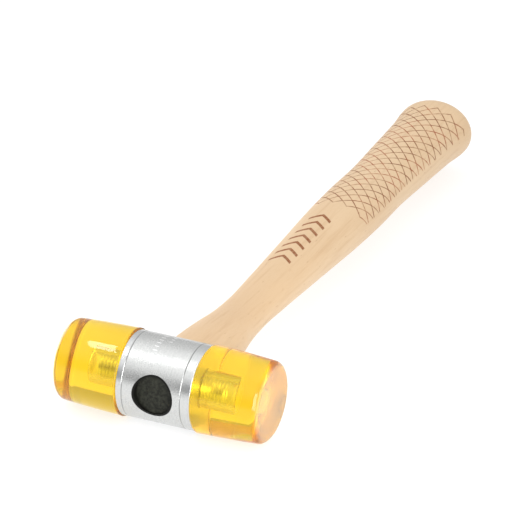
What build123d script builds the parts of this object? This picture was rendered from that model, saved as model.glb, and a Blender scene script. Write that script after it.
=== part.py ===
"""Soft-face mallet with a wooden handle and two screw-on striking faces.

Axes: +X along the head to the right-hand face, +Y from the head to the butt of the handle,
+Z up.  The mallet lies on its side, and the origin is on the surface under it, at the middle
of its length.  Each sub-part is built about the centre of the head and then moved into place.
"""
from build123d import *
import os

# ---- driving dimensions (mm) ---------------------------------------------------------------
STEEL_R = 17.5              # outer radius of the steel head
STEEL_HALF = 16.25          # from the middle of the eye to the steel's end planes
RING_WIDTH = {"left": 2.8, "right": 4.3}
SEAM_CHAMFER = 0.25         # broken edges that make the fine seam between body and ring
RING_LIP = 0.45             # rounded edge of a ring, next to the plastic face
EYE_R = 8.9                 # round eye for the handle

FACE_ROOT_R = 18.05         # plastic face where it meets the steel
FACE_TIP_R = 16.75          # plastic face at its striking end
FACE_END = 44.6             # from the middle of the eye to the striking face
FACE_BULGE = 0.15           # how far the tapered side is crowned
FACE_EDGE = 3.0             # rounding of the striking edge
FACE_ROOT_EDGE = 0.5

STUD_R = 4.98               # M10 x 1.5 stud, major radius
STUD_REACH = 11.5           # how far the stud stands out of the steel
STUD_CHAMFER = 0.9
STUD_CLEARANCE = 0.1        # between the stud and the socket in the plastic
SOCKET_DEPTH = 15.6
SOCKET_FILLET = 1.2
RING_HOLE_R = 5.3

HANDLE_SHIFT = 2.1          # the grip's axis at the head, to the right of the eye's
HANDLE_LEAN = 0.65          # and its turn to the left from there, in degrees
HANDLE_REACH = 291.7        # from the head's axis to the tip of the butt
HANDLE_FLATNESS = 0.8       # thickness of the oval handle over its width
# stations along the handle: (distance from the head's axis, half the width along X)
HANDLE_STATIONS = [
    (4, 14.6), (17, 14.2), (30, 13.5), (42, 12.3), (56, 10.58), (72, 9.88), (92, 10.48),
    (115, 11.5), (140, 12.68), (165, 13.83), (190, 14.3), (215, 14.03), (240, 14.92),
    (258, 15.57), (270, 16.12),
]
FRONT_SLOPE = -0.05         # of the side at the first station: width gained for each mm of length
BUTT_START = 282.0          # where the butt reaches its full width
BUTT_HALF_WIDTH = 17.15
BUTT_DOME = 3.0             # rise of the domed end
BUTT_ROUNDING = 8.0         # rounded corner between the side and the dome

TENON_R = 8.88
TENON_BURIED = 5.0          # how far the tenon runs into the grip behind the head
CAP_FLOOR = 14.7            # from the head's axis to the sunk floor of the eye cap
CAP_THICKNESS = 2.0
CAP_WALL = 0.8
CAP_SETBACK = 0.15          # the cap's rim below the steel's surface
SLIDING_GAP = 0.3           # between the handle's shoulder and what slides past it

WOOD_WEDGE = {"thick": 3.0, "thin": 0.8, "length": 18.0, "width": 16.0}
STEEL_WEDGE = {"thick": 1.8, "thin": 0.4, "length": 10.0, "width": 12.0}

MATCH = 0.05                # two sizes closer than this count as the same
OVERRUN = 1.0               # how far a cutting cylinder runs past the face that it opens

# ---- placing -------------------------------------------------------------------------------
HEAD_Z = FACE_ROOT_R
HEAD_Y = -(HANDLE_REACH - FACE_ROOT_R) / 2
SIDES = {"left": -1, "right": 1}
TENON_FRONT = -(CAP_FLOOR - CAP_THICKNESS)
UPWARD = (Align.CENTER, Align.CENTER, Align.MIN)


def along_x(radius, start, end):
    """Solid cylinder on the head's axis, from x = start to x = end."""
    low, high = min(start, end), max(start, end)
    return Plane.YZ.offset(low) * Cylinder(radius, high - low, align=UPWARD)


def along_y(radius, start, end):
    """Solid cylinder on the handle's axis, from y = start to y = end."""
    plane = Plane(origin=(0, start, 0), z_dir=(0, 1, 0))
    return plane * Cylinder(radius, end - start, align=UPWARD)


def round_edges(solid, x, radius):
    """Round edges of a solid that lie in the plane at x and have this radius."""
    ring = [e for e in solid.edges().filter_by(GeomType.CIRCLE) if abs(e.center().X - x) < MATCH]
    return [e for e in ring if abs(e.radius - radius) < MATCH]


# ---- steel head ----------------------------------------------------------------------------
def head_body():
    """Turned steel body with the eye across it and a tapped hole in each end."""
    left = -(STEEL_HALF - RING_WIDTH["left"])
    right = STEEL_HALF - RING_WIDTH["right"]
    body = along_x(STEEL_R, left, right)
    body = chamfer(round_edges(body, left, STEEL_R) + round_edges(body, right, STEEL_R), SEAM_CHAMFER)
    body -= along_y(EYE_R, -2 * STEEL_R, 2 * STEEL_R)
    body -= along_x(STUD_R, left - OVERRUN, right + OVERRUN)
    return body


def face_ring(side):
    """Steel ring between the body and a plastic face."""
    sign = SIDES[side]
    seam = sign * (STEEL_HALF - RING_WIDTH[side])
    end = sign * STEEL_HALF
    ring = along_x(STEEL_R, seam, end)
    ring = chamfer(round_edges(ring, seam, STEEL_R), SEAM_CHAMFER)
    ring = fillet(round_edges(ring, end, STEEL_R), RING_LIP)
    return ring - along_x(RING_HOLE_R, seam, end)


def stud(side):
    """Threaded stud: fixed in the body, flush with the eye inside and standing out at the end."""
    sign = SIDES[side]
    tip = sign * (STEEL_HALF + STUD_REACH)
    bar = along_x(STUD_R, 0, tip)
    bar = chamfer(round_edges(bar, tip, STUD_R), STUD_CHAMFER)
    return bar - along_y(EYE_R, -STEEL_R, STEEL_R)


# ---- plastic faces -------------------------------------------------------------------------
def striking_face(side):
    """Tapered clear plastic face with a blind socket for the stud."""
    sign = SIDES[side]
    root, end = sign * STEEL_HALF, sign * FACE_END
    crown_x = (root + end) / 2
    crown_r = (FACE_ROOT_R + FACE_TIP_R) / 2 + FACE_BULGE
    outline = [
        Line((root, 0), (root, FACE_ROOT_R)),
        ThreePointArc((root, FACE_ROOT_R), (crown_x, crown_r), (end, FACE_TIP_R)),
        Line((end, FACE_TIP_R), (end, 0)),
        Line((end, 0), (root, 0)),
    ]
    blank = revolve(make_face(Curve() + outline), Axis.X)
    blank = fillet(round_edges(blank, end, FACE_TIP_R), FACE_EDGE)
    blank = fillet(round_edges(blank, root, FACE_ROOT_R), FACE_ROOT_EDGE)
    socket_r = STUD_R + STUD_CLEARANCE
    bottom = root + sign * SOCKET_DEPTH
    socket = along_x(socket_r, root - sign * OVERRUN, bottom)
    socket = fillet(round_edges(socket, bottom, socket_r), SOCKET_FILLET)
    return blank - socket


# ---- handle and what fastens it ------------------------------------------------------------
def wedge(size, across):
    """Tapered wedge driven in from the front of the tenon, thin along the axis named across."""
    back = TENON_FRONT + size["length"]
    half_thick, half_thin = size["thick"] / 2, size["thin"] / 2
    outline = Polyline(
        (-half_thick, TENON_FRONT), (half_thick, TENON_FRONT), (half_thin, back), (-half_thin, back),
        close=True,
    )
    blade = extrude(make_face(outline), amount=size["width"] / 2, both=True)
    if across == "Z":
        blade = blade.rotate(Axis.Y, 90)
    return blade & along_y(TENON_R, TENON_FRONT, back)


def grip():
    """Oval handle behind the head, with a waist, a palm swell and a flared, rounded butt."""
    side = [(half_width, y) for y, half_width in HANDLE_STATIONS] + [(BUTT_HALF_WIDTH, BUTT_START)]
    front, corner_y = side[0][1], HANDLE_REACH - BUTT_DOME
    tip, corner = (0, HANDLE_REACH), (BUTT_HALF_WIDTH, corner_y)
    outline = [
        Line((0, front), side[0]),
        Spline(*side, tangents=[(FRONT_SLOPE, 1), (0, 1)]),
        Line(side[-1], corner),
        TangentArc(tip, corner, tangent=(1, 0)),
        Line(tip, (0, front)),
    ]
    turned = revolve(make_face(Curve() + outline), Axis.Y)
    rim = [e for e in turned.edges().filter_by(GeomType.CIRCLE) if abs(e.center().Y - corner_y) < MATCH]
    oval = scale(fillet(rim, BUTT_ROUNDING), by=(1, 1, HANDLE_FLATNESS))
    return Pos(HANDLE_SHIFT, 0, 0) * oval.rotate(Axis.Z, HANDLE_LEAN)


def handle():
    """Wooden handle: a shoulder that fits the back of the head, and a slotted tenon in the eye."""
    shoulder_half = {side: STEEL_HALF - RING_WIDTH[side] for side in SIDES}
    wood = grip() - along_x(STEEL_R, -shoulder_half["left"], shoulder_half["right"])
    for side, sign in SIDES.items():
        wood -= along_x(STEEL_R + SLIDING_GAP, sign * shoulder_half[side], sign * FACE_END)
        wood -= along_x(FACE_ROOT_R + SLIDING_GAP, sign * (STEEL_HALF - SLIDING_GAP), sign * FACE_END)
    wood += along_y(TENON_R, TENON_FRONT, STEEL_R + TENON_BURIED)
    return wood - wedge(WOOD_WEDGE, "X") - wedge(STEEL_WEDGE, "Z")


def wood_wedge():
    """Hardwood wedge that spreads the tenon, split at its front by the steel wedge."""
    return wedge(WOOD_WEDGE, "X") - wedge(STEEL_WEDGE, "Z")


def steel_wedge():
    """Small steel wedge driven across the wooden one."""
    return wedge(STEEL_WEDGE, "Z")


def eye_cap():
    """Black cup that closes the eye: a sunk floor, and a rim that follows the round head."""
    cup = along_y(TENON_R, -STEEL_R, TENON_FRONT)
    cup -= along_y(TENON_R - CAP_WALL, -STEEL_R, -CAP_FLOOR)
    return cup & along_x(STEEL_R - CAP_SETBACK, -STEEL_HALF, STEEL_HALF)


# ---- all sub-parts -------------------------------------------------------------------------
def build():
    """Every sub-part by node name, in the part's own frame."""
    nodes = {
        "head_body": head_body(),
        "handle": handle(),
        "eye_cap": eye_cap(),
        "wood_wedge": wood_wedge(),
        "steel_wedge": steel_wedge(),
    }
    for side in SIDES:
        nodes[side + "_ring"] = face_ring(side)
        nodes[side + "_stud"] = stud(side)
        nodes[side + "_face"] = striking_face(side)
    place = Location((0, HEAD_Y, HEAD_Z))
    return {name: place * solid for name, solid in nodes.items()}


def main():
    os.makedirs("parts", exist_ok=True)
    for name, solid in build().items():
        export_step(solid, "parts/" + name + ".step")


main()
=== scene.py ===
from math import acos, atan, cos, degrees, pi, radians, sin, sqrt

import bmesh
import bpy
import numpy as np
from mathutils import Matrix, Vector


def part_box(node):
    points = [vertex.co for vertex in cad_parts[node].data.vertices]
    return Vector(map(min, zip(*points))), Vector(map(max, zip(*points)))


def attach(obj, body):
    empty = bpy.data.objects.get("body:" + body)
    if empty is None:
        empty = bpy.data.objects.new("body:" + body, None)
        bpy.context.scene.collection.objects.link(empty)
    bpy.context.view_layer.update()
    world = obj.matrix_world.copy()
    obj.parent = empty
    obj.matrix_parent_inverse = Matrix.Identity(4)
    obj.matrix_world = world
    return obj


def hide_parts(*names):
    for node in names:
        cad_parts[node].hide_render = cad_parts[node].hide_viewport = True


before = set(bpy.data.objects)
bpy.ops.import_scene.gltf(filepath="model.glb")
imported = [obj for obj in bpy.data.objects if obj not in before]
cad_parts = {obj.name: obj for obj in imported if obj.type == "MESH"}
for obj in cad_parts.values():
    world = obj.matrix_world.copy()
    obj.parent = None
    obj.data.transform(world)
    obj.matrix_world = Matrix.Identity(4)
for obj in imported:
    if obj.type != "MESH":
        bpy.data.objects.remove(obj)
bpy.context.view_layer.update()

MM = 0.001


# ---- sizes taken from the frame --------------------------------------------------------------
def span(node, axis):
    """Lowest and highest value of a CAD node along an axis, in millimetres in the frame."""
    low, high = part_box(node)
    return low[axis] / MM, high[axis] / MM


X, Y, Z = 0, 1, 2
HEAD_Y = sum(span("head_body", Y)) / 2
HEAD_Z = sum(span("head_body", Z)) / 2
STEEL_R = span("head_body", Z)[1] - HEAD_Z
SEAMS = span("head_body", X)
STEEL_END = span("right_ring", X)[1]
FACE_END = span("right_face", X)[1]
STUD_TIP = span("right_stud", X)[1]
STUD_R = span("right_stud", Z)[1] - HEAD_Z
TENON_R = span("eye_cap", X)[1]
TENON_FRONT = span("handle", Y)[0] - HEAD_Y

# ---- sizes that the frame's boxes don't give -------------------------------------------------
FACE_ROOT_R = 18.05
FACE_TIP_R = 16.75
FACE_CROWN = 0.15
FACE_EDGE = 3.0
FACE_ROOT_EDGE = 0.5
SOCKET_DEPTH = 15.6
SOCKET_FILLET = 1.2
SOCKET_CLEARANCE = 0.1
SOCKET_MOUTH_R = 5.3

THREAD_LEAD = 1.5
THREAD_DEPTH = 0.9
# one turn of thread along its lead: (share of the lead, height as a share of the thread's depth)
THREAD_SHAPE = [(0.0, 1.0), (0.125, 1.0), (0.47, 0.0), (0.655, 0.0)]
STUD_ROOT = 8.9             # inner end of the stud
STUD_TIP_R = 4.0            # flat part of both its ends

FACE_GAP = 0.05             # air between a plastic face and its ring

HANDLE_SHIFT = 2.1          # the grip's axis at the head, to the right of the eye's
HANDLE_LEAN = 0.65          # and its turn to the left from there
HANDLE_REACH = 291.7        # from the head's axis to the tip of the butt
HANDLE_FLATNESS = 0.8       # thickness of the oval handle over its width
# stations along the handle: (distance from the head's axis, half the width along X)
HANDLE_STATIONS = [
    (4, 14.6), (17, 14.2), (30, 13.5), (42, 12.3), (56, 10.58), (72, 9.88), (92, 10.48),
    (115, 11.5), (140, 12.68), (165, 13.83), (190, 14.3), (215, 14.03), (240, 14.92),
    (258, 15.57), (270, 16.12),
]
BUTT_START = 282.0          # where the butt reaches its full width
BUTT_HALF_WIDTH = 17.15
BUTT_DOME = 3.0             # rise of the domed end
BUTT_ROUNDING = 8.0         # rounded corner between the side and the dome
SLIDING_GAP = 0.3           # between the handle's shoulder and what slides past it
NECK_END = 30.0             # where the rows of the handle's mesh stop following the shoulder

# ---- fineness of the meshes ------------------------------------------------------------------
AROUND = 128                # segments of every round piece
CORNER_STEPS = 10           # of a rounded edge of a plastic face
SIDE_STEPS = 24             # along the side of a plastic face
FLAT_RINGS = (0.0, 4.0, 8.0, 12.0)      # radii of the rings on the striking end
HEEL_RING = 11.0            # radius of the ring on the heel
RIM_INSET = 0.4             # of the last ring on a flat, beside its rounded edge
SOCKET_STEPS = 14
NECK_ROWS = 12
SADDLE_ROWS = 5
ROW_STEP = 2.0              # between the rows of the handle
WELD = 0.002                # points closer than this become one
SHARP = 28                  # edges that bend more than this aren't smoothed


def in_frame(x, y, z):
    return Vector((x * MM, (HEAD_Y + y) * MM, (HEAD_Z + z) * MM))


# ---- mesh making -----------------------------------------------------------------------------
def make_piece(name, body, material, replaces, grids):
    """One object from grids of points: neighbours in a grid become quads, and seams are welded."""
    mesh = bpy.data.meshes.new(name)
    shape = bmesh.new()
    for grid in grids:
        rows = [[shape.verts.new(in_frame(*point)) for point in row] for row in grid]
        for near, far in zip(rows, rows[1:]):
            for i in range(len(near) - 1):
                shape.faces.new((near[i], near[i + 1], far[i + 1], far[i]))
    bmesh.ops.remove_doubles(shape, verts=shape.verts, dist=WELD * MM)
    bmesh.ops.dissolve_degenerate(shape, dist=WELD * MM, edges=shape.edges)
    bmesh.ops.recalc_face_normals(shape, faces=shape.faces)
    shape.to_mesh(mesh)
    shape.free()
    for polygon in mesh.polygons:
        polygon.use_smooth = True
    mesh.set_sharp_from_angle(angle=radians(SHARP))
    mesh.materials.append(material)
    piece = bpy.data.objects.new(name, mesh)
    bpy.context.scene.collection.objects.link(piece)
    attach(piece, body)
    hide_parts(replaces)
    return piece


def arc(centre, radius, start, end, steps):
    """Points (x, r) of an arc, from the start angle to the end angle in degrees."""
    angles = np.radians(np.linspace(start, end, steps + 1))
    return [(centre[0] + radius * cos(a), centre[1] + radius * sin(a)) for a in angles]


def about_x(x, r, angle, side):
    """A point beside the head's axis, on the right or turned half round to the left."""
    return side * x, r * cos(angle), side * r * sin(angle)


def turned(outline, side):
    """Grid of a shape turned about the head's axis, from an outline of (x, r)."""
    angles = np.linspace(0, 2 * pi, AROUND + 1)
    return [[about_x(x, r, a, side) for a in angles] for x, r in outline]


def threaded(start, end, root_r, limit, side):
    """Grid of a right-hand thread about the head's axis; limit(x, r) shapes its two ends."""
    turns = int((end - start) / THREAD_LEAD) + 3
    angles = np.linspace(0, 2 * pi, AROUND + 1)
    grid = []
    for turn in range(-2, turns):
        for share, height in THREAD_SHAPE:
            row = []
            for a in angles:
                x = start + THREAD_LEAD * (turn + share + a / (2 * pi))
                x = min(max(x, start), end)
                r = limit(x, root_r + THREAD_DEPTH * height)
                row.append(about_x(x, r, a, side))
            grid.append(row)
    return grid


# ---- materials: node helpers -----------------------------------------------------------------
class Paint:
    """A material's node tree, with a short call for each kind of node."""

    def __init__(self, name):
        self.material = bpy.data.materials.new(name)
        self.material.use_nodes = True
        self.tree = self.material.node_tree
        self.shader = self.tree.nodes["Principled BSDF"]
        self.output = self.tree.nodes["Material Output"]
        spot = self.node("ShaderNodeTexCoord").outputs["Object"]
        move = {"Vector": spot, "Scale": (1 / MM,) * 3, "Location": (0, -HEAD_Y, -HEAD_Z)}
        self.place = self.node("ShaderNodeMapping", move).outputs[0]
        self.x, self.y, self.z = self.node("ShaderNodeSeparateXYZ", {0: self.place}).outputs
        self.out = self.math("ABSOLUTE", self.x)

    def node(self, kind, inputs=None, **settings):
        made = self.tree.nodes.new(kind)
        for name, value in settings.items():
            setattr(made, name, value)
        for socket, value in (inputs or {}).items():
            self.put(made.inputs[socket], value)
        return made

    def put(self, socket, value):
        if isinstance(value, bpy.types.NodeSocket):
            self.tree.links.new(value, socket)
        else:
            socket.default_value = value

    def math(self, operation, *values):
        made = self.node("ShaderNodeMath", dict(enumerate(values)), operation=operation)
        return made.outputs[0]

    def chain(self, operation, first, *others):
        """One operation on the first two values, then on the result and the next value."""
        result = first
        for value in others:
            result = self.math(operation, result, value)
        return result

    def total(self, *values):
        return self.chain("ADD", *values)

    def times(self, *values):
        return self.chain("MULTIPLY", *values)

    def most(self, *values):
        return self.chain("MAXIMUM", *values)

    def between(self, value, low, high):
        """1 where the value is between low and high, else 0."""
        return self.times(self.math("GREATER_THAN", value, low), self.math("LESS_THAN", value, high))

    def stretch(self, x, y, z):
        """The place with each axis scaled: a small scale draws a pattern out along that axis."""
        inputs = {0: self.place, 1: (x, y, z)}
        return self.node("ShaderNodeVectorMath", inputs, operation="MULTIPLY").outputs[0]

    def distance(self, x, y, z):
        """Distance from an axis through the head's centre: 0 for that axis, and 1 for the others."""
        across = self.stretch(x, y, z)
        return self.node("ShaderNodeVectorMath", {0: across}, operation="LENGTH").outputs["Value"]

    def from_head_axis(self):
        return self.distance(0, 1, 1)

    def from_eye_axis(self):
        return self.distance(1, 0, 1)

    def noise(self, scale, detail=2.0, roughness=0.5):
        """Noise with its own scale along each axis."""
        inputs = {"Vector": self.stretch(*scale), "Scale": 1.0}
        inputs.update({"Detail": detail, "Roughness": roughness})
        return self.node("ShaderNodeTexNoise", inputs).outputs["Fac"]

    def ramp(self, value, low, high, to_low=0.0, to_high=1.0):
        """Smooth step of a value from low..high to to_low..to_high."""
        inputs = {"Value": value, "From Min": low, "From Max": high}
        inputs.update({"To Min": to_low, "To Max": to_high})
        return self.node("ShaderNodeMapRange", inputs, interpolation_type="SMOOTHSTEP").outputs[0]

    def mix(self, share, first, second):
        """Colour between two colours."""
        made = self.node("ShaderNodeMix", data_type="RGBA")
        for socket, value in ((0, share), (6, first), (7, second)):
            self.put(made.inputs[socket], value)
        return made.outputs[2]

    def bump(self, height, strength, distance, normal=None):
        inputs = {"Height": height, "Strength": strength, "Distance": distance}
        if normal is not None:
            inputs["Normal"] = normal
        return self.node("ShaderNodeBump", inputs).outputs[0]

    def finish(self, **inputs):
        """Sets the shader's sockets, with spaces in their names written as underscores."""
        for name, value in inputs.items():
            self.put(self.shader.inputs[name.replace("_", " ")], value)
        return self.material


def rgb(red, green, blue):
    """Linear colour from a display colour of 0 to 255."""
    def linear(c):
        c = c / 255
        return c / 12.92 if c <= 0.04045 else ((c + 0.055) / 1.055) ** 2.4
    return linear(red), linear(green), linear(blue), 1.0


# ---- materials: steel ------------------------------------------------------------------------
SEAM_GRIME_AND_SHADE_SHARE = 0.35          # how dark the grime and painted shade are in the seams between the rings and the body
TICK_PITCH = 2.2
# each row of ticks: from x to x, and from angle to angle, where 90 is the top and less is in front
TICK_ROWS = [(-4.6, -2.8, 62, 104), (-0.3, 1.1, 84, 106)]


def turned_steel():
    """Satin steel with fine lines around the head from the lathe, and two rows of light ticks."""
    paint = Paint("turned_steel")
    dark, light, grime_and_shade = (0.55, 0.56, 0.555, 1), (0.70, 0.705, 0.695, 1), (0.16, 0.16, 0.155, 1)
    tick_colour, seat_colour = (0.95, 0.95, 0.95, 1), (0.95, 0.94, 0.90, 1)
    lines = paint.noise((7, 0.05, 0.05), detail=3, roughness=0.7)
    grain = paint.noise((1.6, 1.6, 1.6), detail=5, roughness=0.7)
    patches = paint.noise((0.12, 0.12, 0.12))
    tone = paint.total(paint.times(lines, 0.4), paint.times(grain, 0.6))
    ticks = steel_ticks(paint)
    seat = paint.ramp(paint.out, STEEL_END - 0.08, STEEL_END - 0.02)
    colour = paint.mix(paint.ramp(tone, 0.3, 0.7), dark, light)
    # grime and painted shade darken the seams between the rings and the body
    colour = paint.mix(paint.times(seam_grime_and_shade(paint), SEAM_GRIME_AND_SHADE_SHARE), colour, grime_and_shade)
    colour = paint.mix(ticks, colour, tick_colour)
    colour = paint.mix(seat, colour, seat_colour)

    # the ticks and the faced ends are rougher, and the rings are a little smoother
    faced = paint.ramp(paint.from_head_axis(), STEEL_R - 0.6, STEEL_R - 0.3, 1, 0)
    ring = paint.math("SUBTRACT", 1.0, paint.between(paint.x, *SEAMS))
    rough = paint.total(
        paint.ramp(tone, 0.25, 0.75, 0.21, 0.31), paint.ramp(patches, 0.3, 0.7, -0.03, 0.03),
        paint.times(ticks, 0.2), paint.times(faced, 0.25), paint.times(seat, 0.25),
        paint.times(ring, -0.08),
    )
    normal = paint.bump(lines, 0.3, 0.00003)
    normal = paint.bump(grain, 0.85, 0.00006, normal)
    return paint.finish(Base_Color=colour, Metallic=1.0, Roughness=rough, Normal=normal)


def seam_grime_and_shade(paint):
    """Dark lines round the head where the rings meet the body, part grime and part painted shade in
    the groove: 1 in the groove.
    """
    grooves = 0.0
    for seam in SEAMS:
        off = paint.math("ABSOLUTE", paint.math("SUBTRACT", paint.x, seam))
        grooves = paint.most(paint.ramp(off, 0.12, 0.3, 1, 0), grooves)
    return paint.times(grooves, paint.ramp(paint.from_head_axis(), STEEL_R - 0.8, STEEL_R - 0.5))


def steel_ticks(paint):
    """Two rows of short strokes along the head near its top, as on a plain scale: 1 on a stroke."""
    angle = paint.math("ARCTAN2", paint.z, paint.times(paint.y, -1.0))
    around = paint.times(angle, STEEL_R)
    stroke = paint.math("PINGPONG", paint.math("DIVIDE", around, TICK_PITCH), 0.5)
    rows = 0.0
    for start, end, first, last in TICK_ROWS:
        angles = paint.between(angle, radians(first), radians(last))
        rows = paint.most(rows, paint.times(paint.between(paint.x, start, end), angles))
    return paint.times(paint.ramp(stroke, 0.07, 0.13, 1, 0), rows)


def stud_steel():
    """Pale satin steel of the threaded studs and of the small wedge, a little oily."""
    paint = Paint("stud_steel")
    dark, light, oil = (0.88, 0.88, 0.84, 1), (0.98, 0.98, 0.94, 1), (0.62, 0.61, 0.50, 1)
    grain = paint.noise((1.5, 4, 4), detail=4, roughness=0.6)
    stain = paint.noise((0.25, 0.25, 0.25), detail=3)
    colour = paint.mix(paint.ramp(grain, 0.3, 0.7), dark, light)
    colour = paint.mix(paint.ramp(stain, 0.55, 0.8, 0, 0.35), colour, oil)
    rough = paint.ramp(grain, 0.3, 0.7, 0.24, 0.38)
    normal = paint.bump(grain, 0.3, 0.00003)
    return paint.finish(Base_Color=colour, Metallic=1.0, Roughness=rough, Normal=normal)


# ---- materials: plastics ---------------------------------------------------------------------
# the plastic's absorption coefficient for each colour, per metre, is (1 - tint) * AMBER_DEPTH
AMBER_TINT = (0.991, 0.901, 0.04, 1)
AMBER_DEPTH = 130.0
AMBER_IOR = 1.48
CLEAR_SHARE = 0.89          # of the striking end, the rest being haze


def amber():
    """Clear amber acetate: polished outside, satin on its end, its heel and its socket."""
    paint = Paint("amber_acetate")
    swirl = paint.noise((0.09, 0.05, 0.05))
    scuffs = paint.noise((0.5, 5, 5), detail=5, roughness=0.7)
    waves = paint.noise((0.16, 0.16, 0.16), detail=1)
    colour = paint.mix(paint.ramp(swirl, 0.3, 0.7), (1.0, 0.99, 0.95, 1), (1.0, 0.98, 0.91, 1))
    end = paint.ramp(paint.out, FACE_END - 0.4, FACE_END - 0.1, 0, 0.18)
    heel = paint.ramp(paint.out, STEEL_END + 0.55, STEEL_END + 0.8, 0.3, 0)
    bottom = STEEL_END + SOCKET_DEPTH
    socket = paint.times(
        paint.ramp(paint.from_head_axis(), SOCKET_MOUTH_R, SOCKET_MOUTH_R + 0.3, 0.22, 0),
        paint.ramp(paint.out, bottom + 0.2, bottom + 0.5, 1, 0),
    )
    rough = paint.total(paint.ramp(scuffs, 0.5, 0.8, 0.02, 0.10), end, socket, heel)
    clear = paint.ramp(paint.out, FACE_END - 1.2, FACE_END - 0.1, 1.0, CLEAR_SHARE)
    normal = paint.bump(waves, 0.015, 0.0004)
    paint.finish(Base_Color=colour, Roughness=rough, Normal=normal, IOR=AMBER_IOR)
    paint.finish(Transmission_Weight=clear)
    inside = paint.node("ShaderNodeVolumeAbsorption", {"Color": AMBER_TINT, "Density": AMBER_DEPTH})
    paint.put(paint.output.inputs["Volume"], inside.outputs[0])
    return paint.material


def black_plug():
    """Moulded black plastic with a mottled, spark-eroded floor, and painted shade that darkens its
    wall and rim.
    """
    paint = Paint("black_plug")
    grain = paint.noise((3.2, 3.2, 3.2), detail=4, roughness=0.6)
    mottle = paint.noise((0.8, 0.8, 0.8), detail=6, roughness=0.8)
    colour = paint.mix(paint.ramp(mottle, 0.35, 0.65), rgb(19, 20, 15), rgb(49, 50, 42))
    # painted shade: the wall and rim of the recess are darker than its floor
    painted_wall_shade = paint.ramp(paint.from_eye_axis(), TENON_R - 1.1, TENON_R - 0.75)
    colour = paint.mix(painted_wall_shade, colour, rgb(16, 16, 13))
    rough = paint.ramp(grain, 0.3, 0.7, 0.42, 0.6)
    normal = paint.bump(grain, 0.5, 0.0001)
    paint.finish(Base_Color=colour, Roughness=rough, Normal=normal)
    return paint.finish(Specular_IOR_Level=0.18)


# ---- materials: wood -------------------------------------------------------------------------
GRIP_PITCH = 6.33           # of the diamonds, both along and across the handle
GRIP_START = 167.2          # first points of the diamonds
GRIP_OFFSET = 4.9           # a point of the diamonds is this far right of the middle
GRIP_ROWS = 33              # half diamonds between the first and the last one
GRIP_LINE = 0.25            # half the width of an etched line
GRIP_EDGE = 3.0             # the etching stops this far above the handle's axis
CROSS_DEPTH = 1.35          # how much deeper the lines are burnt where they cross

MARK_START = 110.4          # near side of the first chevron, on the middle line
MARK_PITCH = 7.0
MARK_COUNT = 7
MARK_STROKE = 2.3           # width of a stroke along the handle
MARK_HALF_WIDTH = 4.9
MARK_SLOPE = 0.8            # how far an arm falls back for each mm from the middle line
SOFT_EDGE = 0.3             # width over which a stroke fades

# flecks of the beech: size across the grain, length along it, share of the cells, strength
BEECH_FLECKS = [(1.0, 5.0, 0.16, 0.30), (3.2, 7.0, 0.10, 0.10)]


def wood_tone(paint, light, base, dark):
    """Colour of plain-sawn hardwood whose grain runs along the handle, and its fibres."""
    drift = paint.noise((0.06, 0.012, 0.06))
    bands = paint.noise((0.55, 0.018, 0.35), detail=3, roughness=0.6)
    fibre = paint.noise((4.5, 0.16, 4.5), detail=3, roughness=0.6)
    colour = paint.mix(paint.ramp(drift, 0.3, 0.7), light, base)
    colour = paint.mix(paint.ramp(bands, 0.48, 0.72, 0, 0.28), colour, dark)
    return paint.mix(paint.ramp(fibre, 0.5, 0.75, 0, 0.16), colour, dark), fibre


def flecks(paint, size, along, share):
    """Short rays along the grain: 1 in the middle of a fleck, for this share of the cells."""
    where = paint.stretch(1 / size, 1 / along, 1 / size)
    cells = paint.node("ShaderNodeTexVoronoi", {"Vector": where, "Scale": 1.0})
    draw = paint.node("ShaderNodeSeparateXYZ", {0: cells.outputs["Color"]}).outputs[0]
    spot = paint.ramp(cells.outputs["Distance"], 0.10, 0.26, 1, 0)
    return paint.times(spot, paint.math("LESS_THAN", draw, share))


def grip_lines(paint):
    """Diamond lattice etched into the grip from above: 1 on a line, and more where two cross."""
    across = paint.math("SUBTRACT", paint.x, GRIP_OFFSET)
    along = paint.math("SUBTRACT", paint.y, GRIP_START)
    half_line = GRIP_LINE / (GRIP_PITCH / sqrt(2))
    margin = 1.4 * half_line
    ways = []
    for operation in ("ADD", "SUBTRACT"):
        ways.append(paint.math("DIVIDE", paint.math(operation, along, across), GRIP_PITCH))
    lines = []
    for way in ways:
        lines.append(paint.ramp(paint.math("PINGPONG", way, 0.5), 0.6 * half_line, margin, 1, 0))
    line = paint.most(*lines, paint.times(*lines, CROSS_DEPTH))

    # whole diamonds only: none starts before the first row, or ends after the last one
    past_start = [paint.math("FLOOR", paint.total(way, margin)) for way in ways]
    before_end = [paint.math("FLOOR", paint.math("SUBTRACT", way, margin)) for way in ways]
    started = paint.math("GREATER_THAN", paint.total(*past_start), -0.5)
    ended = paint.math("LESS_THAN", paint.total(*before_end), GRIP_ROWS + 0.5)
    on_top = paint.ramp(paint.z, GRIP_EDGE - 0.3, GRIP_EDGE + 0.4)
    return paint.times(line, started, ended, on_top)


def chevrons(paint):
    """A row of plain burnt chevrons on top of the handle, pointing to the butt: 1 on a stroke."""
    off_middle = paint.math("ABSOLUTE", paint.x)
    back = paint.times(off_middle, MARK_SLOPE)
    run = paint.math("SUBTRACT", paint.total(paint.y, back), MARK_START)
    count = paint.math("DIVIDE", run, MARK_PITCH)
    into = paint.times(paint.math("FRACT", count), MARK_PITCH)
    near_edge = paint.ramp(into, 0.0, SOFT_EDGE)
    far_edge = paint.ramp(into, MARK_STROKE - SOFT_EDGE, MARK_STROKE, 1, 0)
    half_soft = SOFT_EDGE / 2
    ends = paint.ramp(off_middle, MARK_HALF_WIDTH - half_soft, MARK_HALF_WIDTH + half_soft, 1, 0)
    on_top = paint.math("GREATER_THAN", paint.z, 0.0)
    inside = paint.times(paint.between(count, 0, MARK_COUNT), ends, on_top)
    return paint.times(paint.times(near_edge, far_edge), inside)


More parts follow.
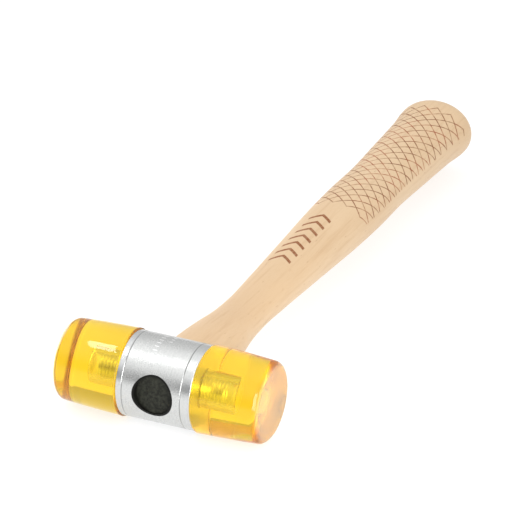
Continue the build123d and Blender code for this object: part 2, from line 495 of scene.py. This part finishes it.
def beech():
    """Pale beech with a thin lacquer, painted shade towards the head, brown flecks, an etched grip and
    a row of chevrons.
    """
    paint = Paint("beech")
    light, base, dark = rgb(224, 195, 158), rgb(217, 186, 148), rgb(192, 152, 110)
    fleck_colour, mark_colour = rgb(158, 108, 70), rgb(140, 80, 40)
    colour, fibre = wood_tone(paint, light, base, dark)
    # painted shade: the wood is darker towards the head, from 110 mm down to 20 mm from the head's
    # axis
    colour = paint.mix(paint.ramp(paint.y, 20, 110, 0.2, 0), colour, dark)
    for size, along, share, strength in BEECH_FLECKS:
        spots = paint.times(flecks(paint, size, along, share), strength)
        colour = paint.mix(spots, colour, fleck_colour)

    wear = paint.ramp(paint.noise((0.35, 0.35, 0.35), detail=3), 0.3, 0.65, 0.45, 1)
    tint = paint.ramp(paint.noise((0.08, 0.08, 0.08), detail=1), 0.45, 0.6)
    burn = paint.mix(tint, rgb(134, 80, 46), rgb(164, 90, 56))
    lattice = grip_lines(paint)
    colour = paint.mix(paint.times(lattice, wear), colour, burn)
    mark = chevrons(paint)
    scorch = paint.ramp(paint.noise((1.2, 0.4, 1.2), detail=3), 0.3, 0.7, 0.75, 1.0)
    colour = paint.mix(paint.times(mark, scorch), colour, mark_colour)

    etched = paint.most(lattice, paint.times(mark, 0.7))
    normal = paint.bump(fibre, 0.15, 0.00006)
    normal = paint.bump(paint.math("SUBTRACT", 1.0, etched), 0.6, 0.00012, normal)
    rough = paint.total(paint.ramp(fibre, 0.3, 0.7, 0.42, 0.54), paint.times(etched, 0.25))
    paint.finish(Base_Color=colour, Roughness=rough, Normal=normal, Specular_IOR_Level=0.3)
    return paint.finish(Coat_Weight=0.12, Coat_Roughness=0.3, Coat_IOR=1.4)


def wedge_wood():
    """Raw, darker hardwood of the wedge."""
    paint = Paint("wedge_wood")
    colour, fibre = wood_tone(paint, rgb(190, 150, 108), rgb(176, 134, 94), rgb(140, 98, 62))
    rough = paint.ramp(fibre, 0.3, 0.7, 0.6, 0.75)
    normal = paint.bump(fibre, 0.4, 0.0001)
    return paint.finish(Base_Color=colour, Roughness=rough, Normal=normal)


# ---- material of the floor -------------------------------------------------------------------
def pale_floor():
    """Matt studio board with a faint mottle, which glows so that it shows white."""
    paint = Paint("pale_floor")
    mottle = paint.noise((0.004, 0.004, 0.004))
    colour = paint.mix(mottle, (0.33, 0.33, 0.33, 1), (0.36, 0.36, 0.36, 1))
    paint.finish(Emission_Color=(1, 1, 1, 1), Emission_Strength=0.72)
    return paint.finish(Base_Color=colour, Roughness=0.9, Specular_IOR_Level=0.1)


# ---- pieces ----------------------------------------------------------------------------------
def side_r(x):
    """Radius of a plastic face's tapered, slightly crowned side."""
    share = (x - STEEL_END) / (FACE_END - STEEL_END)
    taper = FACE_ROOT_R + (FACE_TIP_R - FACE_ROOT_R) * share
    return taper + 4 * FACE_CROWN * share * (1 - share)


def side_lean(x):
    """Degrees of the side's normal away from straight out, from how much 1 mm of it narrows."""
    return degrees(atan(side_r(x - 0.5) - side_r(x + 0.5)))


def rounded_corner(x_plane, radius, outward):
    """Arc between the side and an end plane, from the side to the plane."""
    x = x_plane - outward * radius
    lean = side_lean(x)
    centre = (x, side_r(x) - radius / cos(radians(lean)))
    plane_angle = 0 if outward > 0 else 180
    return arc(centre, radius, 90 - lean, plane_angle, CORNER_STEPS)


def clear_face(side, name, material):
    """Amber face: a tapered plug with a rounded striking edge and a plain blind socket."""
    root = STEEL_END + FACE_GAP
    edge = rounded_corner(FACE_END, FACE_EDGE, 1)
    heel = rounded_corner(root, FACE_ROOT_EDGE, -1)
    sides = [(x, side_r(x)) for x in np.linspace(heel[0][0], edge[0][0], SIDE_STEPS)[1:-1]]
    flat = [(FACE_END, r) for r in (*FLAT_RINGS, edge[-1][1] - RIM_INSET)]
    outside = flat + edge[::-1] + sides[::-1] + heel
    outside += [(root, r) for r in (heel[-1][1] - RIM_INSET, HEEL_RING, SOCKET_MOUTH_R)]
    socket_r = STUD_R + SOCKET_CLEARANCE
    bottom = root + SOCKET_DEPTH
    corner = (bottom - SOCKET_FILLET, socket_r - SOCKET_FILLET)
    inside = [(root, SOCKET_MOUTH_R), (root + SOCKET_MOUTH_R - socket_r, socket_r)]
    inside += [(x, socket_r) for x in np.linspace(root + 1, corner[0], SOCKET_STEPS)[:-1]]
    inside += arc(corner, SOCKET_FILLET, 90, 0, 6) + [(bottom, corner[1] / 2), (bottom, 0.0)]
    grids = [turned(outside, side), turned(inside, side)]
    node = name + "_face"
    make_piece(name + "_clear_face", node, material, node, grids)


def threaded_stud(side, name, material):
    """Steel stud with a rolled thread, chamfered at both ends."""
    def limit(x, r):
        return min(r, STUD_TIP_R + (STUD_TIP - x), STUD_TIP_R + (x - STUD_ROOT))

    grids = [threaded(STUD_ROOT, STUD_TIP, STUD_R - THREAD_DEPTH, limit, side)]
    for x in (STUD_ROOT, STUD_TIP):
        grids.append(turned([(x, STUD_TIP_R), (x, 0.75 * STUD_TIP_R), (x, 0.0)], side))
    node = name + "_stud"
    make_piece(name + "_threaded_stud", "mallet", material, node, grids)


def half_width(y):
    """Half the handle's width before the butt, at a distance from the head's axis."""
    stations = np.array(HANDLE_STATIONS + [(BUTT_START, BUTT_HALF_WIDTH)], float)
    ys, widths = stations[:, 0], stations[:, 1]
    slopes = np.gradient(widths, ys)
    slopes[-1] = 0.0
    i = int(np.clip(np.searchsorted(ys, y) - 1, 0, len(ys) - 2))
    step = ys[i + 1] - ys[i]
    t = (y - ys[i]) / step
    ends = widths[i] * (1 + 2 * t) * (1 - t) ** 2 + widths[i + 1] * t * t * (3 - 2 * t)
    return ends + step * (slopes[i] * t * (1 - t) ** 2 - slopes[i + 1] * t * t * (1 - t))


def butt_outline():
    """Points (distance from the head's axis, half width) of the butt's rounded corner and dome."""
    dome_r = (BUTT_HALF_WIDTH ** 2 + BUTT_DOME ** 2) / (2 * BUTT_DOME)
    dome = (HANDLE_REACH - dome_r, 0.0)
    inset = BUTT_HALF_WIDTH - BUTT_ROUNDING
    corner = (dome[0] + sqrt((dome_r - BUTT_ROUNDING) ** 2 - inset ** 2), inset)
    meet = degrees(acos((corner[0] - dome[0]) / (dome_r - BUTT_ROUNDING)))
    rounding = arc(corner, BUTT_ROUNDING, 90, meet, 14)
    return [(BUTT_START, BUTT_HALF_WIDTH)] + rounding + arc(dome, dome_r, meet, 0, 12)[1:]


def section(reach, width, angle):
    """Point of the grip's surface, from the place along its axis, half width and angle."""
    x, z = width * cos(angle), HANDLE_FLATNESS * width * sin(angle)
    lean = radians(HANDLE_LEAN)
    return HANDLE_SHIFT + x * cos(lean) - reach * sin(lean), x * sin(lean) + reach * cos(lean), z


SHOULDER_TRIES = 8


def shoulder(angle):
    """How far along its axis the grip starts at this angle of its section, by trial and correction."""
    reach = STEEL_R
    for _ in range(SHOULDER_TRIES):
        x, y, z = section(reach, half_width(reach), angle)
        hollow_r = STEEL_R + (0 if SEAMS[0] < x < SEAMS[1] else SLIDING_GAP)
        if x > STEEL_END - SLIDING_GAP:
            hollow_r = FACE_ROOT_R + SLIDING_GAP
        reach += sqrt(hollow_r ** 2 - z * z) - y
    return reach


def wooden_handle(material):
    """Handle with its saddle against the head, the tenon inside the eye, and slots for wedges."""
    angles = np.linspace(0, 2 * pi, AROUND + 1)
    starts = [shoulder(a) for a in angles]
    grip = []
    for share in np.linspace(0, 1, NECK_ROWS):
        places = [s + (NECK_END - s) * share for s in starts]
        grip.append([section(y, half_width(y), a) for y, a in zip(places, angles)])
    outline = [(y, half_width(y)) for y in np.arange(NECK_END + ROW_STEP, BUTT_START, ROW_STEP)]
    for y, width in outline + butt_outline():
        grip.append([section(y, width, a) for a in angles])

    saddle = []
    for share in np.linspace(0, 1, SADDLE_ROWS):
        row = []
        for (x, y, z), a in zip(grip[0], angles):
            ring = sqrt(y * y + z * z)
            x, z = x + (TENON_R * cos(a) - x) * share, z + (TENON_R * sin(a) - z) * share
            ring += (STEEL_R - ring) * min(1.0, 3 * share)
            row.append((x, sqrt(ring * ring - z * z), z))
        saddle.append(row)

    tenon = [saddle[-1]]
    for r in (TENON_R, 0.0):
        tenon.append([(r * cos(a), TENON_FRONT, r * sin(a)) for a in angles])
    grids = [grip, saddle, tenon]
    piece = make_piece("wooden_handle", "mallet", material, "handle", grids)
    cut_slots(piece, ("wood_wedge", "steel_wedge"))


def cut_slots(piece, wedges):
    """Cuts the wedges' shapes out of a piece."""
    for wedge in wedges:
        cut = piece.modifiers.new(wedge, "BOOLEAN")
        cut.operation = "DIFFERENCE"
        cut.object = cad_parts[wedge]
    graph = bpy.context.evaluated_depsgraph_get()
    result = bpy.data.meshes.new_from_object(piece.evaluated_get(graph))
    piece.modifiers.clear()
    piece.data = result


def repaint(material, *nodes):
    """Gives CAD nodes that stay in view a finished material."""
    for name in nodes:
        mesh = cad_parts[name].data
        mesh.materials.clear()
        mesh.materials.append(material)


def build_object():
    """All pieces: repainted CAD nodes, and finer ones that replace the rest."""
    steel, bright = turned_steel(), stud_steel()
    clear, wood = amber(), beech()
    repaint(steel, "head_body", "left_ring", "right_ring")
    repaint(black_plug(), "eye_cap")
    repaint(wedge_wood(), "wood_wedge")
    repaint(bright, "steel_wedge")
    for name, side in (("left", -1), ("right", 1)):
        threaded_stud(side, name, bright)
        clear_face(side, name, clear)
    wooden_handle(wood)


# ---- studio ----------------------------------------------------------------------------------
CAMERA = {
    "azimuth": 22.93, "elevation": 24.89, "roll": 2.11, "distance": 1987.2,
    "across": 37.71, "up": 45.89, "lens": 339.3,
}
SENSOR = 36.0
VIEW_RANGE = (0.05, 100)    # metres

FLOOR_R = 16.0              # metres
FLOOR_DROP = 0.2            # below the mallet, so that the two don't touch


def add_camera():
    """Long-lens camera; its aim is moved across and up from the centre of the head."""
    azimuth, elevation, roll = (radians(CAMERA[k]) for k in ("azimuth", "elevation", "roll"))
    back = Vector((sin(azimuth) * cos(elevation), -cos(azimuth) * cos(elevation), sin(elevation)))
    level = Vector((cos(azimuth), sin(azimuth), 0))
    upright = back.cross(level)
    across = cos(roll) * level + sin(roll) * upright
    up = cos(roll) * upright - sin(roll) * level
    spot = back * CAMERA["distance"] + across * CAMERA["across"] + up * CAMERA["up"]
    data = bpy.data.cameras.new("camera")
    data.lens, data.sensor_width = CAMERA["lens"], SENSOR
    data.clip_start, data.clip_end = VIEW_RANGE
    camera = bpy.data.objects.new("camera", data)
    turn = Matrix((across, up, back)).transposed().to_4x4()
    camera.matrix_world = Matrix.Translation(in_frame(*spot)) @ turn
    bpy.context.scene.collection.objects.link(camera)
    bpy.context.scene.camera = camera


def add_floor():
    """Large round floor just under the mallet."""
    mesh = bpy.data.meshes.new("floor")
    shape = bmesh.new()
    bmesh.ops.create_circle(shape, cap_ends=True, segments=96, radius=FLOOR_R)
    shape.to_mesh(mesh)
    shape.free()
    mesh.materials.append(pale_floor())
    floor = bpy.data.objects.new("floor", mesh)
    floor.location.z = -FLOOR_DROP * MM
    bpy.context.scene.collection.objects.link(floor)


def add_panel(name, spot, size, power):
    """Soft rectangular light aimed at the head: its place, then its sizes along X and square to it."""
    data = bpy.data.lights.new(name, "AREA")
    data.shape = "RECTANGLE"
    data.size, data.size_y = size[0] * MM, size[1] * MM
    data.energy = power
    panel = bpy.data.objects.new(name, data)
    back = Vector(spot).normalized()
    square = back.cross(Vector((1, 0, 0))).normalized()
    turn = Matrix((square.cross(back), square, back)).transposed().to_4x4()
    panel.matrix_world = Matrix.Translation(in_frame(*spot)) @ turn
    panel.visible_camera = False
    bpy.context.scene.collection.objects.link(panel)


# brightness of the tent by the height of the direction: in front of the mallet and behind it
FRONT_LEVELS = [
    (0.0, 0.72), (0.17, 0.44), (0.34, 0.55), (0.55, 1.00), (0.74, 1.34), (0.91, 1.22), (1.0, 1.55),
]
BACK_LEVELS = [(0.0, 0.63), (0.50, 0.80), (0.72, 0.90), (0.97, 1.44), (1.0, 1.60)]
BLEND = 0.5                 # the two blend where the direction's Y is between -BLEND and BLEND


def add_world():
    """White studio tent, brightest overhead."""
    world = bpy.data.worlds.new("tent")
    world.use_nodes = True
    bpy.context.scene.world = world
    tree = world.node_tree
    way = tree.nodes.new("ShaderNodeTexCoord")
    split = tree.nodes.new("ShaderNodeSeparateXYZ")
    tree.links.new(way.outputs["Generated"], split.inputs[0])
    blend = tree.nodes.new("ShaderNodeMix")
    blend.data_type = "RGBA"
    share = tree.nodes.new("ShaderNodeMapRange")
    share.inputs["From Min"].default_value = -BLEND
    share.inputs["From Max"].default_value = BLEND
    tree.links.new(split.outputs["Y"], share.inputs["Value"])
    tree.links.new(share.outputs[0], blend.inputs[0])
    for socket, levels in ((6, FRONT_LEVELS), (7, BACK_LEVELS)):
        rise = tree.nodes.new("ShaderNodeValToRGB")
        tree.links.new(split.outputs["Z"], rise.inputs[0])
        tree.links.new(rise.outputs[0], blend.inputs[socket])
        while len(rise.color_ramp.elements) < len(levels):
            rise.color_ramp.elements.new(0.5)
        for stop, (height, level) in zip(rise.color_ramp.elements, levels):
            stop.position = height
            stop.color = (level, level, level, 1)
    tree.links.new(blend.outputs[2], tree.nodes["Background"].inputs["Color"])


# each light: its name, its place, its sizes along X and square to it, and its power in watts
PANELS = [
    ("window_panel", (-525, -230, 1000), (56, 336), 0.5),
    ("side_panel", (962, -22, 268), (56, 170), 0.22),
    ("right_end_panel", (150, -128, 50), (130, 130), 0.36),
    ("left_end_panel", (-230, 70, 60), (150, 150), 0.22),
]


def build_studio():
    """Camera, floor, tent and lights, with enough light bounces for thick clear plastic."""
    add_camera()
    add_floor()
    add_world()
    for panel in PANELS:
        add_panel(*panel)
    scene = bpy.context.scene
    scene.view_settings.view_transform = "Standard"
    scene.cycles.max_bounces = 24
    scene.cycles.transmission_bounces = 20
    scene.cycles.glossy_bounces = 8


build_object()
build_studio()
